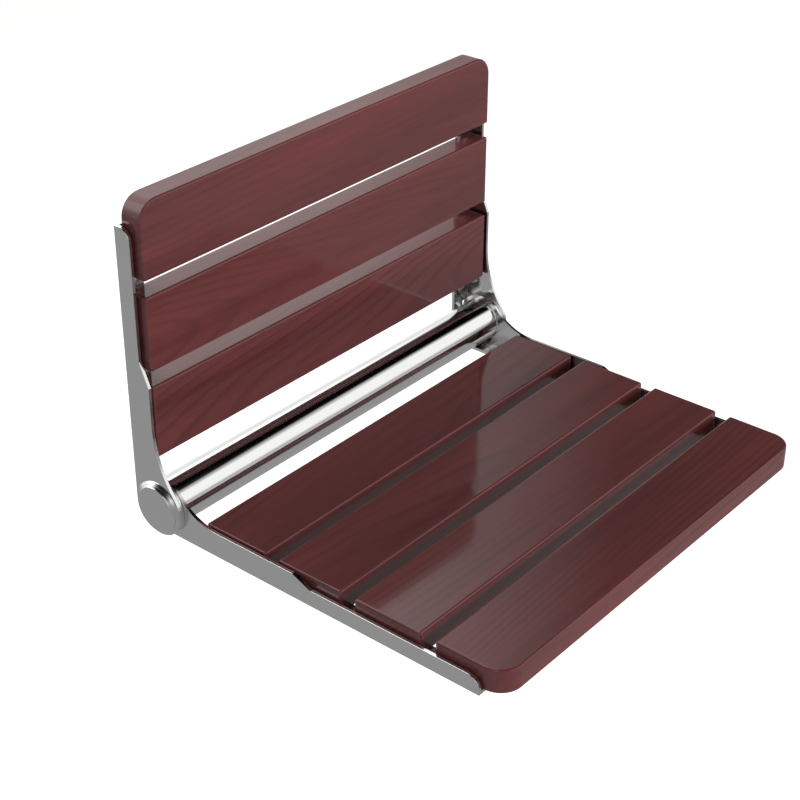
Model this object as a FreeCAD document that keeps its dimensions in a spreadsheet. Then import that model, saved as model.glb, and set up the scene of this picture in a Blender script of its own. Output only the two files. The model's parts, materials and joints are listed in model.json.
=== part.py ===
"""Fold down wall seat: two bent steel back brackets on the wall, two seat brackets that turn with a cross
tube on a pivot at their rear, and slats of solid wood screwed to the brackets' flanges.

The frame: +X to the right seen from the front, +Y into the wall, +Z up. The origin lies on the wall plane,
midway between the four upper wall holes. Every sub-part but the slats and screws is drawn around the pivot
axis and placed at the pivot, with the seat folded down. Millimetres.
"""

import FreeCAD, Part
import math
import os
import Sketcher
from FreeCAD import Placement, Rotation, Vector

# The driving dimensions: alias, value, meaning
SIZES = (
    ("inner_half_width", 214.5, "centre plane to the inner face of a seat bracket"),
    ("sheet_thickness", 3, "bracket sheet"),
    ("bend_radius", 0.5, "inside radius of the bracket bends"),
    ("outline_rounding", 0.5, "rounded outline of a bracket's outer face, its bend included"),
    ("washer_thickness", 3, "friction washer between the two brackets of a hinge"),
    ("washer_play", 0.1, "axial play of the friction washer"),
    ("washer_edge", 0.4, "broken edges of the friction washer"),
    ("knuckle_radius", 25.5, "round lower end of a back bracket, also pivot to wall"),
    ("knuckle_play", 0.3, "how much smaller a seat bracket's round end is"),
    ("slat_width", 66, "front to back"),
    ("slat_gap", 14, "between two slats"),
    ("slat_thickness", 21.5, "solid wood"),
    ("slat_edge_radius", 2, "eased edges of a slat's sitting side and ends"),
    ("slat_back_radius", 1, "eased edges of its screw side"),
    ("slat_first_edge", 45.75, "pivot to the first slat"),
    ("seat_slat_length", 425, "along the wall"),
    ("back_slat_length", 436, "along the wall"),
    ("seat_corner_radius", 20, "two corners of the front seat slat"),
    ("back_corner_radius", 18, "two corners of the top back slat"),
    ("back_wide_edge", 0.5, "front edge of a back bracket's wide part, from the pivot towards the wall"),
    ("back_narrow_edge", 9.5, "front edge of its narrow part"),
    ("back_wide_end", 113, "height over the pivot where its taper starts"),
    ("back_narrow_start", 134.5, "height over the pivot where its taper ends"),
    ("back_top", 249.5, "top of a back bracket over the pivot"),
    ("back_top_radius", 10.5, "front corner at its top"),
    ("back_flare_radius", 100, "hollow sweep from the wide part to the round end"),
    ("wall_flange_edge", 200, "centre plane to the free edge of a wall flange"),
    ("wall_flange_foot", 13, "lower end of the wall flange over the pivot, clear of the seat bracket"),
    ("wall_tongue_foot", 2, "lower end of its inner part, which reaches down behind the tube"),
    ("wall_tongue_side", 213, "centre plane to the outer side of that part"),
    ("seat_wide_edge", 2, "top edge of a seat bracket's wide part under the pivot"),
    ("seat_narrow_edge", 10, "top edge of its narrow part under the pivot"),
    ("seat_wide_end", 145.5, "pivot to the start of its taper"),
    ("seat_narrow_start", 164.5, "pivot to the end of its taper"),
    ("seat_reach", 331.5, "pivot to the front end of a seat bracket"),
    ("seat_end_radius", 11, "top corner at its front end"),
    ("seat_flare_radius", 55, "hollow sweep from the wide part to the round end"),
    ("seat_flange_edge", 196.5, "centre plane to the free edge of a seat flange"),
    ("flange_corner_radius", 6, "free corners of the flanges at their far ends"),
    ("hinge_corner_radius", 2, "free corners of the flanges near the hinge"),
    ("tube_radius", 21, "outside of the cross tube"),
    ("tube_wall", 2, "wall of the cross tube"),
    ("ring_height", 0.7, "weld ring over the tube"),
    ("ring_width", 1.2, "weld ring along the tube"),
    ("plug_length", 22, "threaded plug in each end of the tube"),
    ("plug_chamfer", 1, "inner edge of the plug"),
    ("thread_radius", 4, "pivot bolt in the plug"),
    ("thread_length", 18, "pivot bolt beyond its shoulder, through bracket and plug"),
    ("shoulder_radius", 7, "bearing part of the pivot bolt"),
    ("shoulder_play", 0.05, "running clearance of the shoulder in its bush"),
    ("bush_wall", 1.7, "plastic bush round the shoulder"),
    ("head_radius", 11.5, "head of the pivot bolt"),
    ("head_thickness", 2, "head of the pivot bolt"),
    ("head_play", 0.2, "play under and over the head"),
    ("cap_base_radius", 24.6, "hinge cap where it meets the bracket"),
    ("cap_base_height", 0.4, "straight rim of that base"),
    ("cap_waist_radius", 22.4, "cone of the hinge cap at its groove"),
    ("cap_face_radius", 20.2, "flat face of the hinge cap"),
    ("cap_height", 3.6, "hinge cap over the bracket"),
    ("cap_groove_low", 1.85, "turned groove round the cone, lower side"),
    ("cap_groove_high", 2.2, "turned groove round the cone, upper side"),
    ("cap_groove_depth", 0.6, "turned groove round the cone"),
    ("cap_edge", 0.3, "broken edge of the cap's face and of the bolt's head"),
    ("cap_recess_radius", 13.5, "room for the bolt head under the cap"),
    ("cap_recess_depth", 2.6, "room for the bolt head under the cap"),
    ("stop_pin_radius", 4, "pin that stops the fold at both ends"),
    ("stop_circle", 14.75, "pivot to the stop pin"),
    ("stop_play", 0.15, "clearance of the stop pin in its slot"),
    ("screw_radius", 2, "wood screw shank"),
    ("screw_head_radius", 4, "countersunk head"),
    ("screw_length", 17, "head to point"),
    ("screw_point", 2.5, "length of the point"),
    ("screw_tip_radius", 0.5, "blunt end of the point"),
    ("screw_inset", 16, "slat's near edge to its first screw"),
    ("screw_spread", 33.5, "between the two screws at one end of a slat"),
    ("last_screw_spread", 17, "the same on the last slat, which overhangs the bracket"),
    ("back_screw_across", 209, "centre plane to the back slats' screws and to the wall holes"),
    ("seat_screw_across", 205, "centre plane to the seat slats' screws"),
    ("wall_hole_radius", 3.5, "clearance hole for a wall screw"),
    ("low_wall_hole", 32, "lowest wall hole over the pivot"),
)
SEAT_SLATS = ("seat_slat_rear", "seat_slat_second", "seat_slat_third", "seat_slat_front")
BACK_SLATS = ("back_slat_bottom", "back_slat_middle", "back_slat_top")
SIDES = ((-1, "left"), (1, "right"))
SLOT_ANGLE = 45  # the stop slot reaches this far above and below the pivot, on its wall side
TOLERANCE = 1e-4
RING_RISE = 2  # a turned profile is first drawn as a small ring this far from the axis

doc = FreeCAD.newDocument("FoldDownSeat")
sheet = doc.addObject("Spreadsheet::Sheet", "Sizes")
for row, (alias, value, meaning) in enumerate(SIZES, start=1):
    sheet.set(f"A{row}", meaning)
    sheet.set(f"B{row}", str(value))
    sheet.setAlias(f"B{row}", alias)
doc.recompute()
size = {alias: float(sheet.get(alias)) for alias, _, _ in SIZES}

PIVOT_Y = "-Sizes.knuckle_radius"
ORIGIN_HEIGHT = "(Sizes.slat_first_edge + 1.5 * (Sizes.slat_width + Sizes.slat_gap) - Sizes.slat_gap / 2)"
PIVOT_Z = f"-{ORIGIN_HEIGHT}"
WASHER_FACE = "(Sizes.inner_half_width + Sizes.sheet_thickness)"
BACK_FACE = f"({WASHER_FACE} + Sizes.washer_thickness)"
OUTER_FACE = f"({BACK_FACE} + Sizes.sheet_thickness)"
SEAT_KNUCKLE = "(Sizes.knuckle_radius - Sizes.knuckle_play)"
sub_parts = []


# Drawing helpers


def new_body(label):
    """A body whose own origin is the pivot, placed where the pivot is."""
    body = doc.addObject("PartDesign::Body", label)
    body.Label = label
    body.setExpression("Placement.Base.y", PIVOT_Y)
    body.setExpression("Placement.Base.z", PIVOT_Z)
    sub_parts.append(body)
    return body


def new_sketch(body, role, name, offset="0"):
    """A sketch on one of the body's origin planes, moved along the plane's normal by offset."""
    sketch = body.newObject("Sketcher::SketchObject", f"{body.Name}_{name}")
    support = next(plane for plane in body.Origin.OriginFeatures if plane.Role == role)
    sketch.AttachmentSupport = [(support, "")]
    sketch.MapMode = "FlatFace"
    sketch.setExpression("AttachmentOffset.Base.z", offset)
    return sketch


def line(u1, v1, u2, v2):
    return Part.LineSegment(Vector(u1, v1, 0), Vector(u2, v2, 0))


def arc(u, v, radius, start, end, mirror=(1, 1)):
    """An arc between two angles in degrees, mirrored in u or in v where mirror says -1."""
    if mirror[0] < 0:
        u, start, end = -u, 180 - end, 180 - start
    if mirror[1] < 0:
        v, start, end = -v, -end, -start
    circle = Part.Circle(Vector(u, v, 0), Vector(0, 0, 1), radius)
    return Part.ArcOfCircle(circle, math.radians(start), math.radians(end))


def draw_outline(sketch, curves):
    """Draws a closed outline; each curve comes with True where it runs smoothly into the next."""
    first = sketch.GeometryCount
    for curve, _ in curves:
        sketch.addGeometry(curve, False)
    for step, (_, smooth) in enumerate(curves):
        here = first + step
        there = first + (step + 1) % len(curves)
        ends = ((p, q) for p in (1, 2) for q in (1, 2))
        p, q = min(ends, key=lambda pair: (sketch.getPoint(here, pair[0])
                                           - sketch.getPoint(there, pair[1])).Length)
        sketch.addConstraint(Sketcher.Constraint("Tangent" if smooth else "Coincident", here, p, there, q))
    return first


def dimension(sketch, kind, places, name, expression):
    """A named dimension bound to the sheet. Its first value is measured on what is drawn."""
    if kind == "Radius":
        value = sketch.Geometry[places[0]].Radius
    else:
        run = sketch.getPoint(*places[2:]) - sketch.getPoint(*places[:2])
        value = run.x if kind == "DistanceX" else run.y
        if value < 0:
            places = places[2:] + places[:2]
    index = sketch.addConstraint(Sketcher.Constraint(kind, *places, abs(value)))
    sketch.renameConstraint(index, name)
    sketch.setExpression(f"Constraints.{name}", expression)


def place(sketch, geometry, point, name, across=None, up=None):
    """Dimensions from the sketch's origin to a point, in u and in v."""
    if across:
        dimension(sketch, "DistanceX", (-1, 1, geometry, point), f"{name}_across", across)
    if up:
        dimension(sketch, "DistanceY", (-1, 1, geometry, point), f"{name}_up", up)


def pad(body, sketch, name, length, reverse=False):
    feature = body.newObject("PartDesign::Pad", f"{body.Name}_{name}")
    feature.Profile = sketch
    feature.setExpression("Length", length)
    feature.Reversed = reverse
    doc.recompute()
    return feature


def cut(body, sketch, name, length=None, reverse=False):
    """A pocket, through all where no length is given. Stops where it takes nothing away."""
    before = body.Shape.Volume
    feature = body.newObject("PartDesign::Pocket", f"{body.Name}_{name}")
    feature.Profile = sketch
    feature.Reversed = reverse
    if length:
        feature.setExpression("Length", length)
    else:
        feature.Type = "ThroughAll"
    doc.recompute()
    if body.Shape.Volume > before - TOLERANCE:
        raise RuntimeError(f"{feature.Name} cuts nothing")
    return feature


def round_edges(body, name, radius, test):
    """Rounds the edges of the body for which test is true."""
    base = body.Tip
    edges = [f"Edge{i}" for i, edge in enumerate(base.Shape.Edges, start=1) if test(edge)]
    feature = body.newObject("PartDesign::Fillet", f"{body.Name}_{name}")
    feature.Base = (base, edges)
    feature.setExpression("Radius", radius)
    doc.recompute()
    return feature


def lies_at(edge, x, y=None, z=None):
    """Whether all of an edge lies at a distance from the centre plane, and at y or z where given."""
    box = edge.BoundBox
    spans = ((abs(box.XMin), abs(box.XMax), x), (box.YMin, box.YMax, y), (box.ZMin, box.ZMax, z))
    return all(where is None or max(abs(one - where), abs(other - where)) < TOLERANCE
               for one, other, where in spans)


def draw_holes(sketch, radius, centres):
    """Circles of one radius; centres gives u, v, and the two expressions that hold them."""
    for count, (u, v, across, up) in enumerate(centres, start=1):
        hole = sketch.addGeometry(Part.Circle(Vector(u, v, 0), Vector(0, 0, 1), size[radius]), False)
        dimension(sketch, "Radius", (hole,), f"hole_{count}_radius", f"Sizes.{radius}")
        place(sketch, hole, 3, f"hole_{count}", across, up)


def turned(label, side, profile):
    """A body turned about the pivot axis: profile lists (along the axis, radius) as expressions."""
    body = new_body(label)
    sketch = new_sketch(body, "XY_Plane", "profile")
    corners = len(profile)
    ring = [Vector(side * math.cos(math.tau * i / corners), RING_RISE + math.sin(math.tau * i / corners), 0)
            for i in range(corners)]
    for i in range(corners):
        sketch.addGeometry(Part.LineSegment(ring[i], ring[(i + 1) % corners]), False)
    for i, (along, radius) in enumerate(profile):
        sketch.addConstraint(Sketcher.Constraint("Coincident", i - 1 if i else corners - 1, 2, i, 1))
        ends = (-1, 1, i, 1) if side > 0 else (i, 1, -1, 1)
        index = sketch.addConstraint(Sketcher.Constraint("DistanceX", *ends, 1.0))
        sketch.setExpression(f"Constraints[{index}]", along)
        if radius == "0":
            sketch.addConstraint(Sketcher.Constraint("PointOnObject", i, 1, -1))
        else:
            index = sketch.addConstraint(Sketcher.Constraint("DistanceY", -1, 1, i, 1, 1.0))
            sketch.setExpression(f"Constraints[{index}]", radius)
    feature = body.newObject("PartDesign::Revolution", f"{body.Name}_turning")
    feature.Profile = sketch
    feature.ReferenceAxis = (sketch, ["H_Axis"])
    feature.Angle = 360
    doc.recompute()
    return body


# Brackets


def tangent_height(flare, reach, knuckle):
    """How far along the bracket a flare arc ends that touches the straight edge and the round end."""
    return math.sqrt((flare + knuckle) ** 2 - (flare + reach) ** 2)


def draw_flange(sketch, side, corners, fixed):
    """A flange's outline from its corners; fixed gives the corners that dimensions hold."""
    ends = corners[1:] + corners[:1]
    first = draw_outline(sketch, [
        (line(side * u1, v1, side * u2, v2), False) for (u1, v1), (u2, v2) in zip(corners, ends)])
    for step, ((u1, _), (u2, _)) in enumerate(zip(corners, ends)):
        sketch.addConstraint(Sketcher.Constraint("Vertical" if u1 == u2 else "Horizontal", first + step))
    for corner, name, across, up in fixed:
        place(sketch, first + corner, 1, name, across, up)


def back_bracket(side, hand):
    """Side plate with a round end at the pivot, a hollow flare, a tapered front edge and a wall flange."""
    body = new_body(f"back_bracket_{hand}")
    sheet_size = size["sheet_thickness"]
    knuckle = size["knuckle_radius"]
    top = size["back_top"]
    corner = size["back_top_radius"]
    narrow = size["back_narrow_edge"]
    wide = size["back_wide_edge"]
    flare = size["back_flare_radius"]
    flare_top = tangent_height(flare, -wide, knuckle)
    sweep = math.degrees(math.atan2(flare_top, flare - wide))
    outline = new_sketch(body, "YZ_Plane", "outline", f"{side} * {BACK_FACE}")
    first = draw_outline(outline, [
        (line(knuckle, 0, knuckle, top), False),
        (line(knuckle, top, narrow + corner, top), True),
        (arc(narrow + corner, top - corner, corner, 90, 180), True),
        (line(narrow, top - corner, narrow, size["back_narrow_start"]), False),
        (line(narrow, size["back_narrow_start"], wide, size["back_wide_end"]), False),
        (line(wide, size["back_wide_end"], wide, flare_top), True),
        (arc(wide - flare, flare_top, flare, -sweep, 0), True),
        (arc(0, 0, knuckle, 180 - sweep, 360), True),
    ])
    for vertical in (0, 3, 5):
        outline.addConstraint(Sketcher.Constraint("Vertical", first + vertical))
    outline.addConstraint(Sketcher.Constraint("Horizontal", first + 1))
    outline.addConstraint(Sketcher.Constraint("Coincident", first + 7, 3, -1, 1))
    dimension(outline, "Radius", (first + 7,), "knuckle", "Sizes.knuckle_radius")
    dimension(outline, "Radius", (first + 6,), "flare", "Sizes.back_flare_radius")
    dimension(outline, "Radius", (first + 2,), "corner", "Sizes.back_top_radius")
    place(outline, first, 2, "top", up="Sizes.back_top")
    place(outline, first + 3, 2, "taper_top", "Sizes.back_narrow_edge", "Sizes.back_narrow_start")
    place(outline, first + 5, 1, "taper_foot", "Sizes.back_wide_edge", "Sizes.back_wide_end")
    pad(body, outline, "side", "Sizes.sheet_thickness", side < 0)
    face = size["inner_half_width"] + sheet_size + size["washer_thickness"]
    round_edges(body, "outline_rounding", "Sizes.outline_rounding", lambda e: lies_at(e, face + sheet_size))

    edge = size["wall_flange_edge"]
    foot = size["wall_flange_foot"]
    tongue = size["wall_tongue_side"]
    tongue_foot = size["wall_tongue_foot"]
    flange = new_sketch(body, "XZ_Plane", "flange", "-Sizes.knuckle_radius")
    draw_flange(flange, side, [
        (face, top), (edge, top), (edge, tongue_foot),
        (tongue, tongue_foot), (tongue, foot), (face, foot)], [
        (0, "bend_top", BACK_FACE, "Sizes.back_top"),
        (2, "tongue_foot", "Sizes.wall_flange_edge", "Sizes.wall_tongue_foot"),
        (4, "tongue_root", "Sizes.wall_tongue_side", "Sizes.wall_flange_foot")])
    pad(body, flange, "flange", "Sizes.sheet_thickness")
    round_edges(body, "bend", "Sizes.bend_radius", lambda e: lies_at(e, face, y=knuckle - sheet_size))
    round_edges(body, "far_corner", "Sizes.flange_corner_radius", lambda e: lies_at(e, edge, z=top))
    round_edges(body, "hinge_corners", "Sizes.hinge_corner_radius",
                lambda e: lies_at(e, edge, z=tongue_foot) or lies_at(e, tongue, z=tongue_foot))
    drill_wall_flange(body, side)

    hinge_holes = new_sketch(body, "YZ_Plane", "hinge_holes", f"{side} * {BACK_FACE}")
    bore_radius = size["shoulder_radius"] + size["shoulder_play"] + size["bush_wall"]
    bore = hinge_holes.addGeometry(Part.Circle(Vector(), Vector(0, 0, 1), bore_radius), False)
    hinge_holes.addConstraint(Sketcher.Constraint("Coincident", bore, 3, -1, 1))
    dimension(hinge_holes, "Radius", (bore,), "bush_bore",
              "Sizes.shoulder_radius + Sizes.shoulder_play + Sizes.bush_wall")
    draw_holes(hinge_holes, "stop_pin_radius", [stop_pin_centre()])
    cut(body, hinge_holes, "hinge_holes", reverse=side > 0)


def stop_pin_centre():
    """The pin sits at the lower end of its slot: v, w, and the expressions that hold them."""
    reach = size["stop_circle"] * math.cos(math.radians(SLOT_ANGLE))
    return reach, -reach, f"Sizes.stop_circle * cos({SLOT_ANGLE})", f"Sizes.stop_circle * sin({SLOT_ANGLE})"


def drill_wall_flange(body, side):
    """Wall screw holes in line with the slat gaps and near the foot, and countersunk slat screw holes."""
    across = side * size["back_screw_across"]
    pitch = size["slat_width"] + size["slat_gap"]
    first_gap = size["slat_first_edge"] + size["slat_width"] + size["slat_gap"] / 2
    wall_holes = new_sketch(body, "XZ_Plane", "wall_holes", "-Sizes.knuckle_radius")
    gap = "Sizes.slat_first_edge + {0} * (Sizes.slat_width + Sizes.slat_gap) - Sizes.slat_gap / 2"
    draw_holes(wall_holes, "wall_hole_radius", [
        (across, size["low_wall_hole"], "Sizes.back_screw_across", "Sizes.low_wall_hole"),
        (across, first_gap, "Sizes.back_screw_across", gap.format(1)),
        (across, first_gap + pitch, "Sizes.back_screw_across", gap.format(2)),
    ])
    cut(body, wall_holes, "wall_holes", reverse=True)
    screw_holes = new_sketch(body, "XZ_Plane", "screw_holes", "-Sizes.knuckle_radius")
    draw_holes(screw_holes, "screw_radius", [
        (across, up, "Sizes.back_screw_across", expression)
        for up, expression in screw_stations(len(BACK_SLATS))
    ])
    countersink(body, screw_holes)


def slat_screws_inset(last):
    """Distance of a slat's two screws from its near edge, as numbers and as expressions."""
    spread = "last_screw_spread" if last else "screw_spread"
    yield size["screw_inset"], "Sizes.screw_inset"
    yield size["screw_inset"] + size[spread], f"Sizes.screw_inset + Sizes.{spread}"


def screw_stations(slats):
    """Distance of each slat screw from the pivot, as a number and as an expression."""
    pitch = size["slat_width"] + size["slat_gap"]
    for slat in range(slats):
        for inset, expression in slat_screws_inset(slat == slats - 1):
            edge = f"Sizes.slat_first_edge + {slat} * (Sizes.slat_width + Sizes.slat_gap)"
            yield size["slat_first_edge"] + slat * pitch + inset, f"{edge} + {expression}"


def countersink(body, sketch):
    """Countersunk screw holes from the outer face of a flange, through its sheet."""
    before = body.Shape.Volume
    doc.recompute()
    hole = body.newObject("PartDesign::Hole", f"{body.Name}_screw_holes")
    hole.Profile = sketch
    hole.DepthType = "ThroughAll"
    hole.HoleCutType = "Countersink"
    hole.setExpression("Diameter", "2 * Sizes.screw_radius")
    hole.setExpression("HoleCutDiameter", "2 * Sizes.screw_head_radius")
    hole.HoleCutCountersinkAngle = 90
    hole.Reversed = True
    doc.recompute()
    if body.Shape.Volume > before - TOLERANCE:
        raise RuntimeError(f"{hole.Name} cuts nothing")


def seat_bracket(side, hand):
    """Side plate that turns on the pivot, with a stop slot round it and a flange under the slats."""
    body = new_body(f"seat_bracket_{hand}")
    sheet_size = size["sheet_thickness"]
    knuckle = size["knuckle_radius"] - size["knuckle_play"]
    reach = size["seat_reach"]
    corner = size["seat_end_radius"]
    narrow = size["seat_narrow_edge"]
    wide = size["seat_wide_edge"]
    flare = size["seat_flare_radius"]
    flare_start = tangent_height(flare, -wide, knuckle)
    sweep = math.degrees(math.atan2(flare_start, flare - wide))
    outline = new_sketch(body, "YZ_Plane", "outline", f"{side} * Sizes.inner_half_width")
    first = draw_outline(outline, [
        (line(0, -knuckle, -reach, -knuckle), False),
        (line(-reach, -knuckle, -reach, -narrow - corner), True),
        (arc(corner - reach, -narrow - corner, corner, 90, 180), True),
        (line(corner - reach, -narrow, -size["seat_narrow_start"], -narrow), False),
        (line(-size["seat_narrow_start"], -narrow, -size["seat_wide_end"], -wide), False),
        (line(-size["seat_wide_end"], -wide, -flare_start, -wide), True),
        (arc(-flare_start, flare - wide, flare, -90, sweep - 90), True),
        (arc(0, 0, knuckle, -90, 90 + sweep), True),
    ])
    outline.addConstraint(Sketcher.Constraint("Vertical", first + 1))
    for level in (0, 3, 5):
        outline.addConstraint(Sketcher.Constraint("Horizontal", first + level))
    outline.addConstraint(Sketcher.Constraint("Coincident", first + 7, 3, -1, 1))
    dimension(outline, "Radius", (first + 7,), "knuckle", SEAT_KNUCKLE)
    dimension(outline, "Radius", (first + 6,), "flare", "Sizes.seat_flare_radius")
    dimension(outline, "Radius", (first + 2,), "corner", "Sizes.seat_end_radius")
    place(outline, first, 2, "front", across="Sizes.seat_reach")
    place(outline, first + 3, 2, "taper_front", "Sizes.seat_narrow_start", "Sizes.seat_narrow_edge")
    place(outline, first + 5, 1, "taper_rear", "Sizes.seat_wide_end", "Sizes.seat_wide_edge")
    pad(body, outline, "side", "Sizes.sheet_thickness", side < 0)
    face = size["inner_half_width"]
    round_edges(body, "outline_rounding", "Sizes.outline_rounding", lambda e: lies_at(e, face + sheet_size))

    edge = size["seat_flange_edge"]
    flange = new_sketch(body, "XZ_Plane", "flange")
    draw_flange(flange, side, [
        (face, -knuckle), (edge, -knuckle), (edge, sheet_size - knuckle), (face, sheet_size - knuckle)], [
        (0, "bend", "Sizes.inner_half_width", SEAT_KNUCKLE),
        (2, "free_edge", "Sizes.seat_flange_edge", f"{SEAT_KNUCKLE} - Sizes.sheet_thickness")])
    pad(body, flange, "flange", "Sizes.seat_reach")
    round_edges(body, "bend", "Sizes.bend_radius", lambda e: lies_at(e, face, z=sheet_size - knuckle))
    round_edges(body, "far_corner", "Sizes.flange_corner_radius", lambda e: lies_at(e, edge, y=-reach))
    round_edges(body, "hinge_corner", "Sizes.hinge_corner_radius", lambda e: lies_at(e, edge, y=0))

    screw_holes = new_sketch(body, "XY_Plane", "screw_holes", f"-{SEAT_KNUCKLE}")
    draw_holes(screw_holes, "screw_radius", [
        (side * size["seat_screw_across"], -station, "Sizes.seat_screw_across", expression)
        for station, expression in screw_stations(len(SEAT_SLATS))
    ])
    countersink(body, screw_holes)

    bore = new_sketch(body, "YZ_Plane", "bore", f"{side} * Sizes.inner_half_width")
    hole = bore.addGeometry(Part.Circle(Vector(), Vector(0, 0, 1), size["thread_radius"]), False)
    bore.addConstraint(Sketcher.Constraint("Coincident", hole, 3, -1, 1))
    dimension(bore, "Radius", (hole,), "bolt", "Sizes.thread_radius")
    cut(body, bore, "bore", reverse=side > 0)
    cut_stop_slot(body, side)


def cut_stop_slot(body, side):
    """A quarter turn slot round the pivot, in which the stop pin runs from one end to the other."""
    slot = new_sketch(body, "YZ_Plane", "stop_slot", f"{side} * Sizes.inner_half_width")
    circle = size["stop_circle"]
    half = size["stop_pin_radius"] + size["stop_play"]
    end = circle * math.cos(math.radians(SLOT_ANGLE))
    first = draw_outline(slot, [
        (arc(0, 0, circle + half, -SLOT_ANGLE, SLOT_ANGLE), True),
        (arc(end, end, half, SLOT_ANGLE, SLOT_ANGLE + 180), True),
        (arc(0, 0, circle - half, -SLOT_ANGLE, SLOT_ANGLE), True),
        (arc(end, -end, half, 180 - SLOT_ANGLE, 360 - SLOT_ANGLE), True),
    ])
    slot.addConstraint(Sketcher.Constraint("Coincident", first, 3, -1, 1))
    slot.addConstraint(Sketcher.Constraint("Coincident", first + 2, 3, -1, 1))
    dimension(slot, "Radius", (first + 1,), "half_width", "Sizes.stop_pin_radius + Sizes.stop_play")
    reach = f"Sizes.stop_circle * cos({SLOT_ANGLE})"
    rise = f"Sizes.stop_circle * sin({SLOT_ANGLE})"
    place(slot, first + 1, 3, "upper", reach, rise)
    place(slot, first + 3, 3, "lower", up=rise)
    cut(body, slot, "stop_slot", reverse=side > 0)


# Hinge parts


def cross_tube():
    """Round tube between the two seat brackets."""
    body = new_body("cross_tube")
    section = new_sketch(body, "YZ_Plane", "section", "-Sizes.inner_half_width")
    outer = size["tube_radius"]
    for name, radius, expression in (
        ("outside", outer, "Sizes.tube_radius"),
        ("inside", outer - size["tube_wall"], "Sizes.tube_radius - Sizes.tube_wall"),
    ):
        circle = section.addGeometry(Part.Circle(Vector(), Vector(0, 0, 1), radius), False)
        section.addConstraint(Sketcher.Constraint("Coincident", circle, 3, -1, 1))
        dimension(section, "Radius", (circle,), name, expression)
    pad(body, section, "length", "2 * Sizes.inner_half_width")


def tube_ring(side, hand):
    """Dressed weld ring where the tube meets the seat bracket."""
    inner = "Sizes.inner_half_width - Sizes.ring_width"
    turned(f"tube_ring_{hand}", side, [
        (inner, "Sizes.tube_radius"),
        ("Sizes.inner_half_width", "Sizes.tube_radius"),
        ("Sizes.inner_half_width", "Sizes.tube_radius + Sizes.ring_height"),
        (f"{inner} + Sizes.ring_height / 2", "Sizes.tube_radius + Sizes.ring_height"),
    ])


def tube_plug(side, hand):
    """Threaded plug that closes the tube's end and takes the pivot bolt."""
    bottom = "Sizes.inner_half_width - Sizes.plug_length"
    outside = "Sizes.tube_radius - Sizes.tube_wall"
    turned(f"tube_plug_{hand}", side, [
        (bottom, "Sizes.thread_radius"),
        ("Sizes.inner_half_width", "Sizes.thread_radius"),
        ("Sizes.inner_half_width", outside),
        (f"{bottom} + Sizes.plug_chamfer", outside),
        (bottom, f"{outside} - Sizes.plug_chamfer"),
    ])


def friction_washer(side, hand):
    """Disc between the two brackets, with a hole for the stop pin, held by that pin."""
    bore = "Sizes.shoulder_radius + Sizes.shoulder_play"
    inner = f"{WASHER_FACE} + Sizes.washer_play"
    body = turned(f"friction_washer_{hand}", side, [
        (inner, bore),
        (BACK_FACE, bore),
        (BACK_FACE, f"{SEAT_KNUCKLE} - Sizes.washer_edge"),
        (f"{BACK_FACE} - Sizes.washer_edge", SEAT_KNUCKLE),
        (f"{inner} + Sizes.washer_edge", SEAT_KNUCKLE),
        (inner, f"{SEAT_KNUCKLE} - Sizes.washer_edge"),
    ])
    pin_hole = new_sketch(body, "YZ_Plane", "pin_hole", f"{side} * {WASHER_FACE}")
    draw_holes(pin_hole, "stop_pin_radius", [stop_pin_centre()])
    cut(body, pin_hole, "pin_hole", reverse=side > 0)


def pivot_bush(side, hand):
    """Plastic bush pressed into the back bracket, in which the bolt's shoulder turns."""
    bore = "Sizes.shoulder_radius + Sizes.shoulder_play"
    turned(f"pivot_bush_{hand}", side, [
        (BACK_FACE, bore),
        (OUTER_FACE, bore),
        (OUTER_FACE, f"{bore} + Sizes.bush_wall"),
        (BACK_FACE, f"{bore} + Sizes.bush_wall"),
    ])


def pivot_bolt(side, hand):
    """Shoulder bolt: its thread clamps the seat bracket to the plug, and its shoulder turns in the bush."""
    head = f"{OUTER_FACE} + Sizes.head_play"
    turned(f"pivot_bolt_{hand}", side, [
        (f"{WASHER_FACE} - Sizes.thread_length", "0"),
        (f"{head} + Sizes.head_thickness", "0"),
        (f"{head} + Sizes.head_thickness", "Sizes.head_radius - Sizes.cap_edge"),
        (f"{head} + Sizes.head_thickness - Sizes.cap_edge", "Sizes.head_radius"),
        (head, "Sizes.head_radius"),
        (head, "Sizes.shoulder_radius"),
        (WASHER_FACE, "Sizes.shoulder_radius"),
        (WASHER_FACE, "Sizes.thread_radius"),
        (f"{WASHER_FACE} - Sizes.thread_length + Sizes.plug_chamfer", "Sizes.thread_radius"),
        (f"{WASHER_FACE} - Sizes.thread_length", "Sizes.thread_radius - Sizes.plug_chamfer"),
    ])


def hinge_cap(side, hand):
    """Turned cap over the bolt's head: a cone on a thin rim, with a groove half way up and a flat face."""
    groove = "Sizes.cap_waist_radius - Sizes.cap_groove_depth"
    turned(f"hinge_cap_{hand}", side, [
        (f"{OUTER_FACE} + Sizes.cap_recess_depth", "0"),
        (f"{OUTER_FACE} + Sizes.cap_height", "0"),
        (f"{OUTER_FACE} + Sizes.cap_height", "Sizes.cap_face_radius"),
        (f"{OUTER_FACE} + Sizes.cap_height - Sizes.cap_edge", "Sizes.cap_face_radius + Sizes.cap_edge"),
        (f"{OUTER_FACE} + Sizes.cap_groove_high", "Sizes.cap_waist_radius"),
        (f"{OUTER_FACE} + Sizes.cap_groove_high", groove),
        (f"{OUTER_FACE} + Sizes.cap_groove_low", groove),
        (f"{OUTER_FACE} + Sizes.cap_groove_low", "Sizes.cap_waist_radius"),
        (f"{OUTER_FACE} + Sizes.cap_base_height", "Sizes.cap_base_radius"),
        (OUTER_FACE, "Sizes.cap_base_radius"),
        (OUTER_FACE, "Sizes.cap_recess_radius"),
        (f"{OUTER_FACE} + Sizes.cap_recess_depth", "Sizes.cap_recess_radius"),
    ])


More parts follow.
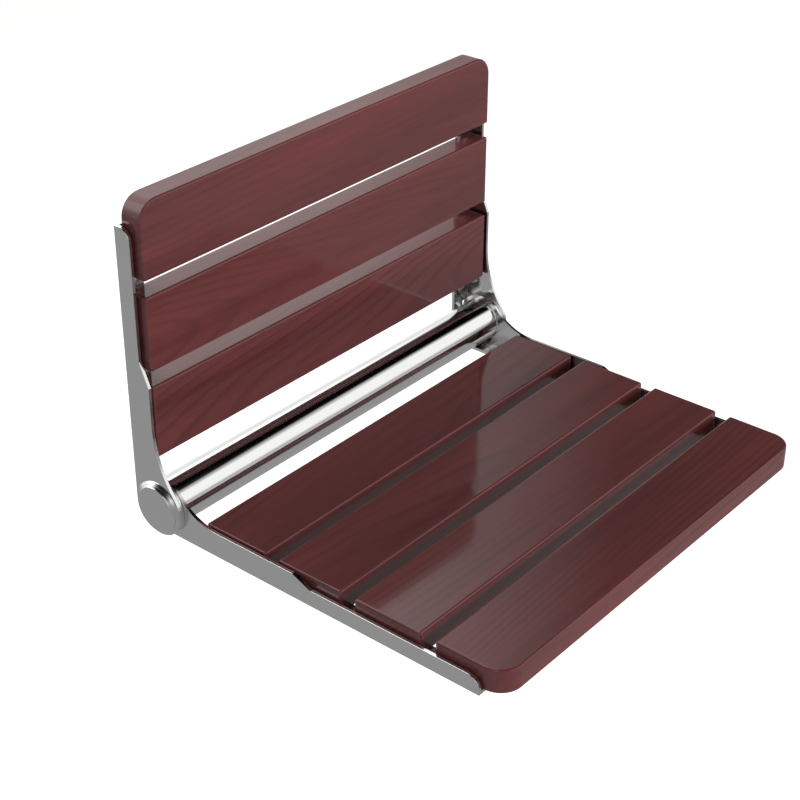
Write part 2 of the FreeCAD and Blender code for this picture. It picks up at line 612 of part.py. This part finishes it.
def stop_pin(side, hand):
    """Pin pressed into the back bracket, through the washer, into the seat bracket's slot."""
    body = new_body(f"stop_pin_{hand}")
    start = f"{side} * (Sizes.inner_half_width + 2 * Sizes.stop_play)"
    section = new_sketch(body, "YZ_Plane", "section", start)
    draw_holes(section, "stop_pin_radius", [stop_pin_centre()])
    pad(body, section, "length",
        "2 * Sizes.sheet_thickness + Sizes.washer_thickness - 2 * Sizes.stop_play", side < 0)


# Slats and their screws


def slat(label, length, corner=None):
    """A slat lying on its screw side: near edge on the X axis, far edge towards -Y, with eased edges.

    Where corner names a radius, the two far corners are rounded by it.
    """
    body = doc.addObject("PartDesign::Body", label)
    body.Label = label
    sub_parts.append(body)
    half = size[length] / 2
    width = size["slat_width"]
    radius = size[corner] if corner else 0
    outline = new_sketch(body, "XY_Plane", "outline")
    curves = [
        (line(-half, 0, half, 0), False),
        (line(half, 0, half, radius - width), bool(corner)),
        (line(half - radius, -width, radius - half, -width), bool(corner)),
        (line(-half, radius - width, -half, 0), False),
    ]
    if corner:
        curves.insert(2, (arc(half - radius, radius - width, radius, -90, 0), True))
        curves.insert(4, (arc(radius - half, radius - width, radius, 180, 270), True))
    draw_outline(outline, curves)
    far = 3 if corner else 2
    last = len(curves) - 1
    outline.addConstraint(Sketcher.Constraint("Symmetric", 0, 1, 0, 2, -1, 1))
    outline.addConstraint(Sketcher.Constraint("Horizontal", far))
    outline.addConstraint(Sketcher.Constraint("Vertical", 1))
    outline.addConstraint(Sketcher.Constraint("Vertical", last))
    dimension(outline, "DistanceX", (0, 1, 0, 2), "length", f"Sizes.{length}")
    dimension(outline, "DistanceY", (far, 1, 0, 2), "width", "Sizes.slat_width")
    if corner:
        dimension(outline, "Radius", (2,), "corner_right", f"Sizes.{corner}")
        dimension(outline, "Radius", (4,), "corner_left", f"Sizes.{corner}")
    pad(body, outline, "thickness", "Sizes.slat_thickness")
    round_edges(body, "eased_edges", "Sizes.slat_edge_radius", lambda e: e.BoundBox.ZMax > TOLERANCE)
    round_edges(body, "screw_side_edges", "Sizes.slat_back_radius", lambda e: e.BoundBox.ZMax < TOLERANCE)
    return body


def drill_slat(body, across, last):
    """Pilot holes for the screws at both ends, from the screw side."""
    pilots = new_sketch(body, "XY_Plane", "pilots")
    draw_holes(pilots, "screw_radius", [
        (side * size[across], -inset, f"Sizes.{across}", expression)
        for side, _ in SIDES
        for inset, expression in slat_screws_inset(last)
    ])
    cut(body, pilots, "pilots", "Sizes.screw_length - Sizes.sheet_thickness", reverse=True)


def seat_slats():
    for index, label in enumerate(SEAT_SLATS):
        last = label == SEAT_SLATS[-1]
        body = slat(label, "seat_slat_length", "seat_corner_radius" if last else None)
        drill_slat(body, "seat_screw_across", last)
        station = f"(Sizes.slat_first_edge + {index} * (Sizes.slat_width + Sizes.slat_gap))"
        body.setExpression("Placement.Base.y", f"{PIVOT_Y} - {station}")
        body.setExpression("Placement.Base.z", f"{PIVOT_Z} - {SEAT_KNUCKLE} + Sizes.sheet_thickness")


def back_slats():
    upright = Rotation(Vector(0, 1, -1), 180)  # far edge up, sitting side away from the wall
    for index, label in enumerate(BACK_SLATS):
        last = label == BACK_SLATS[-1]
        body = slat(label, "back_slat_length", "back_corner_radius" if last else None)
        drill_slat(body, "back_screw_across", last)
        body.Placement = Placement(Vector(), upright)
        station = f"(Sizes.slat_first_edge + {index} * (Sizes.slat_width + Sizes.slat_gap))"
        body.setExpression("Placement.Base.y", "-Sizes.sheet_thickness")
        body.setExpression("Placement.Base.z", f"{PIVOT_Z} + {station}")


def wood_screw():
    """One countersunk wood screw along +Z, its head's face at the origin."""
    radius = size["screw_radius"]
    head = size["screw_head_radius"]
    length = size["screw_length"]
    point = size["screw_point"]
    cone = Part.makeCone(head, radius, head - radius)
    shank = Part.makeCylinder(radius, length - point)
    tip = Part.makeCone(radius, size["screw_tip_radius"], point, Vector(0, 0, length - point))
    return cone.fuse([shank, tip]).removeSplitter()


def screw_group(label, across, slats, turn, place_of):
    """All the screws of one kind as separate solids of one node."""
    screw = wood_screw()
    screws = []
    for side, _ in SIDES:
        for station, _ in screw_stations(slats):
            copy = screw.copy()
            copy.Placement = Placement(place_of(side * size[across], station), turn)
            screws.append(copy)
    group = doc.addObject("Part::Feature", label)
    group.Label = label
    group.Shape = Part.makeCompound(screws)
    group.setExpression("Placement.Base.y", PIVOT_Y)
    group.setExpression("Placement.Base.z", PIVOT_Z)
    sub_parts.append(group)


def slat_screws():
    under = size["knuckle_play"] - size["knuckle_radius"]
    screw_group("seat_slat_screws", "seat_screw_across", len(SEAT_SLATS), Rotation(),
                lambda across, station: Vector(across, -station, under))
    screw_group("back_slat_screws", "back_screw_across", len(BACK_SLATS), Rotation(Vector(1, 0, 0), 90),
                lambda across, station: Vector(across, size["knuckle_radius"], station))


# Building and writing

for maker in (back_bracket, seat_bracket, tube_ring, tube_plug, friction_washer, pivot_bush, pivot_bolt,
              hinge_cap, stop_pin):
    for side, hand in SIDES:
        maker(side, hand)
cross_tube()
seat_slats()
back_slats()
slat_screws()
doc.recompute()

for item in doc.Objects:
    if {"Invalid", "Error"} & set(item.State):
        raise RuntimeError(f"{item.Label} failed: {item.State}")
for item in sub_parts:
    if item.Shape.isNull() or not item.Shape.isValid():
        raise RuntimeError(f"{item.Label} has no valid shape")

os.makedirs("parts", exist_ok=True)
for item in sub_parts:
    item.Shape.exportStep(f"parts/{item.Label}.step")
print(f"{len(sub_parts)} sub-parts written")
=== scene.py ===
"""Looks of the fold down wall seat: lacquered mahogany slats on polished steel brackets round a bright tube.

The CAD nodes keep their shapes and get materials. The screws are new pieces, with sockets for their keys.
"""

import json
import math

import bpy
import numpy as np
from mathutils import Matrix, Vector


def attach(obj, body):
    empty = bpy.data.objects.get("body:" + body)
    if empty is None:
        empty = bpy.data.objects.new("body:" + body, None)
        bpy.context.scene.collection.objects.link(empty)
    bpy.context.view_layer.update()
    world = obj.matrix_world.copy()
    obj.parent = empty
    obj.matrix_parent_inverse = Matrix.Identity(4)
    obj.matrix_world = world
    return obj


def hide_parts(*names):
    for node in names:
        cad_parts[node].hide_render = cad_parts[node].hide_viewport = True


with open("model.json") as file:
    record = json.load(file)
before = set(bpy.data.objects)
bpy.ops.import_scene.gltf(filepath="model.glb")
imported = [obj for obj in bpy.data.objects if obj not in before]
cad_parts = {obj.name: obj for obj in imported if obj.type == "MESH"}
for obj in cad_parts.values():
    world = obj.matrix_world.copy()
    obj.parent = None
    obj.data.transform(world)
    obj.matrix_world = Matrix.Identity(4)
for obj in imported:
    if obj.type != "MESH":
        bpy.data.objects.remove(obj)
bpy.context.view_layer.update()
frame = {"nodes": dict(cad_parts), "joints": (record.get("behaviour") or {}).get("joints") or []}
nodes = frame["nodes"]


MM = 0.001
PIVOT = Vector(frame["joints"][0]["pos_m"])


# Camera: fitted to the photograph

CAMERA_PLACE = PIVOT + Vector((-1.0192, -0.92228, 0.81405))
CAMERA_AZIMUTH = math.radians(-50.24)
CAMERA_ELEVATION = math.radians(30.56)
CAMERA_ROLL = math.radians(0.2)
CAMERA_LENS = 78.63
CAMERA_SENSOR = 36.0
CAMERA_REACH = 20.0


def make_camera():
    """Looks along minus 'back'; right and up are turned by the small roll of the photograph."""
    a, e, r = CAMERA_AZIMUTH, CAMERA_ELEVATION, CAMERA_ROLL
    back = Vector((math.sin(a) * math.cos(e), -math.cos(a) * math.cos(e), math.sin(e)))
    right = Vector((math.cos(a), math.sin(a), 0))
    up = back.cross(right)
    turned_right = math.cos(r) * right + math.sin(r) * up
    turned_up = math.cos(r) * up - math.sin(r) * right
    data = bpy.data.cameras.new("camera")
    data.lens = CAMERA_LENS
    data.sensor_width = CAMERA_SENSOR
    data.clip_end = CAMERA_REACH
    camera = bpy.data.objects.new("camera", data)
    turn = Matrix((turned_right, turned_up, back)).transposed().to_4x4()
    camera.matrix_world = Matrix.Translation(CAMERA_PLACE) @ turn
    bpy.context.scene.collection.objects.link(camera)
    bpy.context.scene.camera = camera


# Shader nodes


def grey(level):
    return (level, level, level)


class Shader:
    """The node tree of a material or of the world, with one short call per node."""

    def __init__(self, owner):
        owner.use_nodes = True
        self.owner = owner
        self.tree = owner.node_tree
        self.tree.nodes.clear()

    def node(self, kind, inputs=(), **settings):
        """A new node, its settings set and its inputs fed with numbers, colours or other nodes' outputs."""
        made = self.tree.nodes.new(kind)
        for key, value in settings.items():
            setattr(made, key, value)
        for key, value in dict(inputs).items():
            self.feed(made.inputs[key], value)
        return made

    def feed(self, socket, value):
        if isinstance(value, bpy.types.NodeSocket):
            self.tree.links.new(value, socket)
        else:
            socket.default_value = value

    def math(self, operation, a, b=0.0):
        return self.node("ShaderNodeMath", {0: a, 1: b}, operation=operation).outputs[0]

    def noise(self, vector, scale=1.0, detail=2.0, roughness=0.5, distortion=0.0):
        made = self.node("ShaderNodeTexNoise", {"Vector": vector, "Scale": scale, "Detail": detail,
                                                "Roughness": roughness, "Distortion": distortion})
        return made.outputs["Fac"]

    def ramp(self, factor, stops, smooth=False):
        """Colour ramp: stops are (position, colour)."""
        made = self.node("ShaderNodeValToRGB", {"Fac": factor})
        made.color_ramp.interpolation = "EASE" if smooth else "LINEAR"
        elements = made.color_ramp.elements
        while len(elements) < len(stops):
            elements.new(0.5)
        for element, (position, colour) in zip(elements, stops):
            element.position = position
            element.color = (*colour, 1.0)
        return made.outputs["Color"]

    def remap(self, value, low, high, to_low, to_high):
        """A straight line from (low, to_low) to (high, to_high), level outside them."""
        made = self.node("ShaderNodeMapRange", {"Value": value, "From Min": low, "From Max": high,
                                                "To Min": to_low, "To Max": to_high})
        return made.outputs["Result"]

    def mix(self, factor, a, b):
        """Colour a where the factor is 0 and colour b where it is 1."""
        made = self.node("ShaderNodeMix", data_type="RGBA")
        for socket, value in zip((made.inputs[0], made.inputs[6], made.inputs[7]), (factor, a, b)):
            self.feed(socket, (*value, 1.0) if isinstance(value, tuple) else value)
        return made.outputs[2]

    def mix_shaders(self, factor, a, b):
        return self.node("ShaderNodeMixShader", {0: factor, 1: a, 2: b}).outputs[0]

    def place(self, move=(0, 0, 0), turn=(0, 0, 0), scale=(1, 1, 1)):
        """Object coordinates, scaled, turned and moved."""
        coordinates = self.node("ShaderNodeTexCoord").outputs["Object"]
        made = self.node("ShaderNodeMapping", {"Vector": coordinates, "Location": move, "Rotation": turn,
                                               "Scale": scale})
        return made.outputs["Vector"]

    def stretch(self, vector, scale):
        """Scaled coordinates: a pattern is longest along the axis with the smallest scale."""
        return self.node("ShaderNodeMapping", {"Vector": vector, "Scale": scale}).outputs["Vector"]

    def split(self, vector):
        return self.node("ShaderNodeSeparateXYZ", {"Vector": vector}).outputs

    def distance_from_x_axis(self, axes):
        """The square root of the sum of the squares of Y and Z."""
        squares = [self.math("MULTIPLY", axes[name], axes[name]) for name in ("Y", "Z")]
        return self.math("SQRT", self.math("ADD", *squares))

    def bump(self, height, strength, distance):
        made = self.node("ShaderNodeBump", {"Height": height, "Strength": strength, "Distance": distance})
        return made.outputs["Normal"]

    def principled(self, inputs):
        """Finishes the material with a Principled shader and returns the material."""
        self.finish(self.node("ShaderNodeBsdfPrincipled", inputs).outputs["BSDF"])
        return self.owner

    def finish(self, shader, output="ShaderNodeOutputMaterial"):
        self.node(output, {"Surface": shader})


def material_shader(name):
    return Shader(bpy.data.materials.new(name))


# Materials

MAHOGANY = ((0.060, 0.0165, 0.017), (0.088, 0.0225, 0.023), (0.104, 0.0262, 0.0265), (0.128, 0.0275, 0.029))
RING_LINE = (0.050, 0.0135, 0.0138)
PORE = (0.045, 0.012, 0.012)
RINGS_PER_METRE = 170.0
RING_WANDER = 0.03
BOARDS = {  # node: the pith line's distance in metres and its tilt in radians
    "back_slat_top": ((0.0, 0.09, 0.02), (0.0, 0.05, 0.06)),
    "back_slat_middle": ((0.0, 0.08, 0.02), (0.0, -0.03, 0.11)),
    "back_slat_bottom": ((0.0, 0.09, 0.11), (0.0, 0.05, -0.10)),
    "seat_slat_rear": ((0.0, 0.16, 0.26), (0.0, 0.03, -0.05)),
    "seat_slat_second": ((0.0, 0.22, 0.28), (0.0, -0.04, 0.03)),
    "seat_slat_third": ((0.0, 0.37, 0.235), (0.0, 0.04, 0.04)),
    "seat_slat_front": ((0.0, 0.455, 0.23), (0.0, 0.02, -0.03)),
}


def lacquered_mahogany(name, pith, turn, seed):
    """Plain sawn board under clear lacquer: broad flames and fine streaks along X, filled pores, and growth
    rings round a pith line outside the board, which show only here and there."""
    s = material_shader(name)
    shifted = s.place(move=(seed * 0.731, seed * 0.377, seed * 0.519))

    # Growth rings: dark late wood at the end of each, at a radius that wanders along the board
    wander = s.noise(s.stretch(shifted, (2.2, 9.0, 9.0)))
    radius = s.distance_from_x_axis(s.split(s.place(move=pith, turn=turn)))
    radius = s.math("ADD", radius, s.math("MULTIPLY", s.math("SUBTRACT", wander, 0.5), RING_WANDER))
    rings = s.math("FRACT", s.math("MULTIPLY", radius, RINGS_PER_METRE))
    late_wood = s.ramp(rings, ((0.0, grey(0.0)), (0.45, grey(0.12)), (0.82, grey(1.0)), (1.0, grey(0.0))),
                       smooth=True)
    patches = s.noise(s.stretch(shifted, (3.0, 16.0, 16.0)), detail=1.0)
    showing = s.remap(patches, 0.40, 0.62, 0.12, 1.0)
    line = s.math("MULTIPLY", s.math("MULTIPLY", late_wood, showing), 0.5)

    # Tone: broad flames and fine streaks, stretched along the board
    flames = s.noise(s.stretch(shifted, (2.4, 26.0, 26.0)), roughness=0.45, distortion=0.5)
    streaks = s.noise(s.stretch(shifted, (7.0, 170.0, 170.0)))
    tone = s.math("ADD", s.math("MULTIPLY", flames, 0.72), s.math("MULTIPLY", streaks, 0.28))
    dark, middle, light, red = MAHOGANY
    colour = s.ramp(tone, ((0.24, dark), (0.42, middle), (0.54, light), (0.70, red)), smooth=True)
    colour = s.mix(line, colour, RING_LINE)

    # Pores: short dark dashes, filled level by the lacquer
    pores = s.noise(s.stretch(shifted, (28.0, 1100.0, 1100.0)), detail=1.0)
    filled = s.remap(pores, 0.26, 0.42, 0.7, 1.0)
    colour = s.mix(filled, PORE, colour)
    height = s.math("ADD", s.math("MULTIPLY", streaks, 0.5), s.math("MULTIPLY", filled, 0.5))
    return s.principled({
        "Base Color": colour, "Roughness": 0.55, "Specular IOR Level": 0.1,
        "Coat Weight": 1.0, "Coat Roughness": 0.085, "Coat IOR": 1.5,
        "Normal": s.bump(height, 0.05, 0.0002)})


def polished_steel(name, brightness, roughness, grain_axis):
    """Polished stainless steel: faint polishing lines along one axis and a slow mottle in the brightness."""
    s = material_shader(name)
    scale = [900.0, 900.0, 900.0]
    scale[grain_axis] = 12.0
    lines = s.noise(s.place(scale=tuple(scale)))
    mottle = s.noise(s.place(), scale=26.0)
    tint = s.ramp(s.math("ADD", s.math("MULTIPLY", lines, 0.5), s.math("MULTIPLY", mottle, 0.5)),
                  ((0.3, tuple(brightness * v for v in (0.95, 0.945, 0.94))),
                   (0.7, tuple(brightness * v for v in (1.0, 0.995, 0.99)))))
    return s.principled({
        "Base Color": tint, "Metallic": 1.0,
        "Roughness": s.remap(lines, 0.3, 0.7, roughness * 0.85, roughness * 1.2),
        "Normal": s.bump(lines, 0.02, 0.0001)})


def turned_steel(name, brightness, roughness):
    """Turned steel: fine rings round the pivot axis, which runs along X."""
    s = material_shader(name)
    axes = s.split(s.place(move=(0, -PIVOT.y, -PIVOT.z)))
    radius = s.distance_from_x_axis(axes)
    across = s.node("ShaderNodeCombineXYZ", {"X": s.math("MULTIPLY", radius, 1800.0), "Y": axes["X"]})
    rings = s.noise(across.outputs[0], roughness=0.6)
    return s.principled({
        "Base Color": (brightness, brightness * 0.99, brightness * 0.985, 1.0), "Metallic": 1.0,
        "Roughness": s.remap(rings, 0.3, 0.7, roughness * 0.85, roughness * 1.25),
        "Normal": s.bump(rings, 0.03, 0.00005)})


def natural_nylon():
    """Natural nylon with a faint moulded mottle."""
    s = material_shader("natural_nylon")
    mottle = s.noise(s.place(), scale=700.0, roughness=0.6)
    colour = s.ramp(mottle, ((0.3, (0.62, 0.61, 0.57)), (0.7, (0.72, 0.71, 0.68))))
    return s.principled({"Base Color": colour, "Roughness": 0.42, "Normal": s.bump(mottle, 0.15, 0.0001)})


def dress(node, material):
    mesh = nodes[node].data
    mesh.materials.clear()
    mesh.materials.append(material)


def dress_nodes():
    """A figure of its own for each board, and the same finish for the left and the right of each metal or
    plastic part. The polishing lines run up the back brackets and forwards along the seat brackets."""
    for seed, (node, (pith, turn)) in enumerate(BOARDS.items(), start=1):
        dress(node, lacquered_mahogany(f"mahogany_{node}", pith, turn, seed))
    dress("cross_tube", polished_steel("polished_tube", 0.93, 0.09, grain_axis=0))
    turned = turned_steel("turned_steel", 0.86, 0.16)
    machined = turned_steel("machined_steel", 0.75, 0.25)
    finishes = {
        "back_bracket": polished_steel("polished_sheet_upright", 0.88, 0.14, grain_axis=2),
        "seat_bracket": polished_steel("polished_sheet_level", 0.88, 0.14, grain_axis=1),
        "hinge_cap": turned,
        "tube_ring": turned,
        "tube_plug": machined,
        "pivot_bolt": machined,
        "stop_pin": machined,
        "friction_washer": machined,
        "pivot_bush": natural_nylon(),
    }
    for part, material in finishes.items():
        for hand in ("left", "right"):
            dress(f"{part}_{hand}", material)


# Screws: sizes and places in millimetres, a place being the middle of the face that the head sits on

TURN_STEPS = 48
SHARP_EDGE = math.radians(35)
X, Y, Z = np.eye(3)

WALL_SCREW_X = 209
WALL_SCREW_Y = -3
WALL_SCREW_HEIGHTS = (40, -40, -126.75)

BACK_SCREW_X = 209
BACK_SCREW_Y = 0
BACK_SCREW_HEIGHTS = (-97, -63.5, -17, 16.5, 63, 80)

SEAT_SCREW_X = 205
SEAT_SCREW_DEPTHS = (-87.25, -120.75, -167.25, -200.75, -247.25, -280.75, -327.25, -344.25)
SEAT_SCREW_Z = -183.95


def dome_screw():
    """Radius, height above the flange and share of socket along a wall screw's outline, from its tip at the
    wall to the floor of its socket. The dome is a quarter ellipse up to 60 degrees."""
    head, rim, dome, socket = 5.2, 0.5, 2.9, 1.75
    climb = np.radians(np.linspace(0, 60, 13))
    mouth = rim + dome * math.sin(math.radians(63))
    below = [(0, -2.9, 0), (3, -2.9, 0), (3, 0, 0), (head, 0, 0)]
    over = np.stack((head * np.cos(climb), rim + dome * np.sin(climb), 0 * climb), axis=-1)
    inside = [(socket + 0.35, mouth, 0), (socket, mouth - 0.15, 1), (socket, 1.3, 1), (0, 1.0, 1)]
    return np.concatenate((below, over, inside))


def countersunk_screw():
    """The same for a slat screw, from its point to the floor of its socket, with heights from its flat
    face."""
    return np.array([(0, -17, 0), (0.5, -17, 0), (2, -14.5, 0), (2, -2, 0), (3.9, -0.1, 0), (3.85, 0, 0),
                     (2.45, 0, 0), (2.0, -0.06, 1), (1.85, -1.1, 1), (0, -1.5, 1)])


def hexagon(angle):
    """Half the width across flats is 1, so the radius is 1 over the cosine of the angle from the nearest
    flat."""
    return 1 / np.cos(np.mod(angle, np.pi / 3) - np.pi / 6)


def six_lobes(angle):
    """A circle of radius 1 with six round lobes: a cosine of six times the angle is added."""
    return 1 + 0.13 * np.cos(6 * angle)


def turned_screw(outline, socket):
    """Points and faces of one screw with its head up: the outline is turned round the Z axis in equal
    angles, and where its third number is 1 the radius is multiplied by the socket's. The two ends are single
    points."""
    angle = np.arange(TURN_STEPS) * 2 * np.pi / TURN_STEPS
    radius, height, share = outline[1:-1].T[:, :, None]
    ring = radius * (1 + share * (socket(angle) - 1))
    around = np.stack((ring * np.cos(angle), ring * np.sin(angle), height + 0 * ring), axis=-1)
    ends = [(0, 0, outline[0, 1]), (0, 0, outline[-1, 1])]
    points = np.concatenate((around.reshape(-1, 3), ends))
    rings = len(outline) - 2
    low = np.arange(rings - 1)[:, None] * TURN_STEPS
    step = np.arange(TURN_STEPS)
    after = np.roll(step, -1)
    walls = np.stack((low + step, low + after, low + TURN_STEPS + after, low + TURN_STEPS + step), axis=-1)
    tip = rings * TURN_STEPS
    floor = tip + 1
    last = tip - TURN_STEPS
    fans = [np.stack((0 * step + tip, after, step), axis=-1),
            np.stack((0 * step + floor, last + step, last + after), axis=-1)]
    return points, walls.reshape(-1, 4), np.concatenate(fans)


def make_screws(name, body, screw, places, across, out, material):
    """Copies of one screw at the places, with their heads towards 'out', all in one piece."""
    points, walls, fans = screw
    turned = points @ np.array((across, np.cross(out, across), out))
    copies = np.arange(len(places))[:, None, None] * len(points)
    faces = (copies + walls).reshape(-1, 4).tolist() + (copies + fans).reshape(-1, 3).tolist()
    mesh = bpy.data.meshes.new(name)
    mesh.from_pydata((MM * (np.array(places)[:, None] + turned)).reshape(-1, 3).tolist(), [], faces)
    mesh.polygons.foreach_set("use_smooth", np.ones(len(faces), dtype=bool))
    mesh.set_sharp_from_angle(angle=SHARP_EDGE)
    mesh.materials.append(material)
    piece = bpy.data.objects.new(name, mesh)
    bpy.context.scene.collection.objects.link(piece)
    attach(piece, body)
    return piece


def make_all_screws():
    """Wall screws in the flanges' six holes, and the slats' screws from behind and from below, all in the
    plain screw steel that comes with the frame."""
    steel = bpy.data.materials["screw_steel"]
    wall_screw = turned_screw(dome_screw(), hexagon)
    slat_screw = turned_screw(countersunk_screw(), six_lobes)
    sides = (-1, 1)
    wall = [(side * WALL_SCREW_X, WALL_SCREW_Y, height) for side in sides for height in WALL_SCREW_HEIGHTS]
    make_screws("wall_screws", "wall_frame", wall_screw, wall, X, -Y, steel)
    seat = [(side * SEAT_SCREW_X, depth, SEAT_SCREW_Z) for side in sides for depth in SEAT_SCREW_DEPTHS]
    piece = make_screws("seat_slat_screws_with_sockets", "seat", slat_screw, seat, Y, -Z, steel)
    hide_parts("seat_slat_screws")
    back = [(side * BACK_SCREW_X, BACK_SCREW_Y, height) for side in sides for height in BACK_SCREW_HEIGHTS]
    piece = make_screws("back_slat_screws_with_sockets", "wall_frame", slat_screw, back, Z, Y, steel)
    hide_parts("back_slat_screws")


# Studio

SKY = (0.62, 0.61, 0.60)
WHITE = grey(1.0)
FLOOR_HALF = 6.0
FLOOR_LEVEL = -0.62
FLOOR_SEEN = grey(0.42)
FLOOR_LIGHTING = grey(0.62)
FLOOR_GLOW = 0.72


def make_world():
    """An even sky lights the seat. Metal and lacquer mirror something else: soft boxes in front and on the
    left, dark overhead, a tall one behind with a brighter patch on its left, and dark grey between them.
    Angles are in degrees, azimuth from +X towards +Y, and each ramp gives the grey at rising elevations."""
    world = bpy.data.worlds.new("studio")
    bpy.context.scene.world = world
    s = Shader(world)
    axes = s.split(s.node("ShaderNodeTexCoord").outputs["Generated"])
    elevation = s.math("MULTIPLY", s.math("ARCSINE", axes["Z"]), 180 / math.pi)
    azimuth = s.math("MULTIPLY", s.math("ARCTAN2", axes["Y"], axes["X"]), 180 / math.pi)
    height = s.remap(elevation, -90, 90, 0, 1)

    def by_elevation(*stops):
        return s.ramp(height, tuple(((degrees + 90) / 180, grey(level)) for degrees, level in stops))

    def between(start, full, full_end, end):
        rise = s.remap(azimuth, start, full, 0, 1)
        return s.math("MULTIPLY", rise, s.remap(azimuth, full_end, end, 1, 0))

    sides = by_elevation((-14, 0.25), (0, 0.3), (20, 0.12), (29, 0.0))
    front = by_elevation((-14, 0.22), (-1, 0.45), (4, 0.8), (7, 1.0), (35, 1.0), (38, 0.65), (43, 0.4),
                         (47, 0.01))
    behind = by_elevation((-40, 0.3), (-26, 0.85), (20, 0.85), (25, 1.15), (31, 1.35), (38, 1.75),
                          (60, 1.5), (90, 1.0))
    corner = by_elevation((0, 1.0), (18, 2.6), (45, 2.6), (65, 1.2))
    gap = by_elevation((-4, 0.3), (7, 0.01))
    mirrored = s.mix(between(-104, -98, -30, -22), sides, front)
    mirrored = s.mix(between(-177, -173, -149, -146), mirrored, front)
    mirrored = s.mix(between(31.5, 42, 134, 142), mirrored, behind)
    mirrored = s.mix(between(104, 116, 130, 136), mirrored, corner)
    mirrored = s.mix(between(140, 144, 176, 179), mirrored, gap)
    ray = s.node("ShaderNodeLightPath").outputs
    colour = s.mix(ray["Is Glossy Ray"], SKY, mirrored)
    colour = s.mix(ray["Is Camera Ray"], colour, WHITE)
    background = s.node("ShaderNodeBackground", {"Color": colour, "Strength": 1.0})
    s.finish(background.outputs[0], "ShaderNodeOutputWorld")


def make_floor():
    """A pale floor: white to the camera but for the shadow, clear to a camera under it, and to metal and
    lacquer a painted grey glow that stands in for reflected studio light, a little lighter towards the wall
    and much lighter far behind it on the right."""
    around = ((-1, -1), (1, -1), (1, 1), (-1, 1))
    mesh = bpy.data.meshes.new("floor")
    mesh.from_pydata([(x * FLOOR_HALF, y * FLOOR_HALF, FLOOR_LEVEL) for x, y in around], [], [(0, 1, 2, 3)])
    floor = bpy.data.objects.new("floor", mesh)
    bpy.context.scene.collection.objects.link(floor)
    s = material_shader("floor_white")
    ray = s.node("ShaderNodeLightPath").outputs
    albedo = s.mix(ray["Is Camera Ray"], FLOOR_LIGHTING, FLOOR_SEEN)
    pale = s.node("ShaderNodeBsdfDiffuse", {"Color": albedo}).outputs[0]
    strength = s.math("MULTIPLY", ray["Is Camera Ray"], FLOOR_GLOW)
    glow = s.node("ShaderNodeEmission", {"Strength": strength}).outputs[0]
    lit = s.node("ShaderNodeAddShader", {0: pale, 1: glow}).outputs[0]
    axes = s.split(s.place())
    # Painted reflection: glossy rays see the floor glow grey, a little brighter towards the wall and much
    # brighter far behind on the right.
    near = s.remap(axes["Y"], -0.9, 0.1, 0.27, 0.31)
    far = s.remap(s.math("ADD", axes["X"], axes["Y"]), 0.9, 1.9, 0.0, 0.7)
    mirrored = s.node("ShaderNodeEmission", {"Strength": s.math("ADD", near, far)}).outputs[0]
    surface = s.mix_shaders(ray["Is Glossy Ray"], lit, mirrored)
    clear = s.node("ShaderNodeBsdfTransparent").outputs[0]
    backfacing = s.node("ShaderNodeNewGeometry").outputs["Backfacing"]
    from_below = s.math("MULTIPLY", backfacing, ray["Is Camera Ray"])
    s.finish(s.mix_shaders(from_below, surface, clear))
    mesh.materials.append(s.owner)


def make_lamp(name, place, target, width, height, power):
    """A soft box at place that shines at target. It lights the wood and isn't itself mirrored."""
    data = bpy.data.lights.new(name, "AREA")
    data.shape = "RECTANGLE"
    data.size = width
    data.size_y = height
    data.energy = power
    lamp = bpy.data.objects.new(name, data)
    aim = (Vector(place) - Vector(target)).to_track_quat("Z", "Y")
    lamp.matrix_world = Matrix.Translation(place) @ aim.to_matrix().to_4x4()
    lamp.visible_glossy = False
    lamp.visible_camera = False
    bpy.context.scene.collection.objects.link(lamp)


make_camera()
dress_nodes()
make_all_screws()
make_world()
make_floor()
make_lamp("key", (-0.3, -3.2, 0.75), (0, -0.1, -0.1), width=1.6, height=1.3, power=86.0)
make_lamp("back_light", (0.0, 1.4, 0.75), (0, 0, 0), width=2.0, height=0.5, power=33.0)
bpy.context.scene.view_settings.view_transform = "Standard"
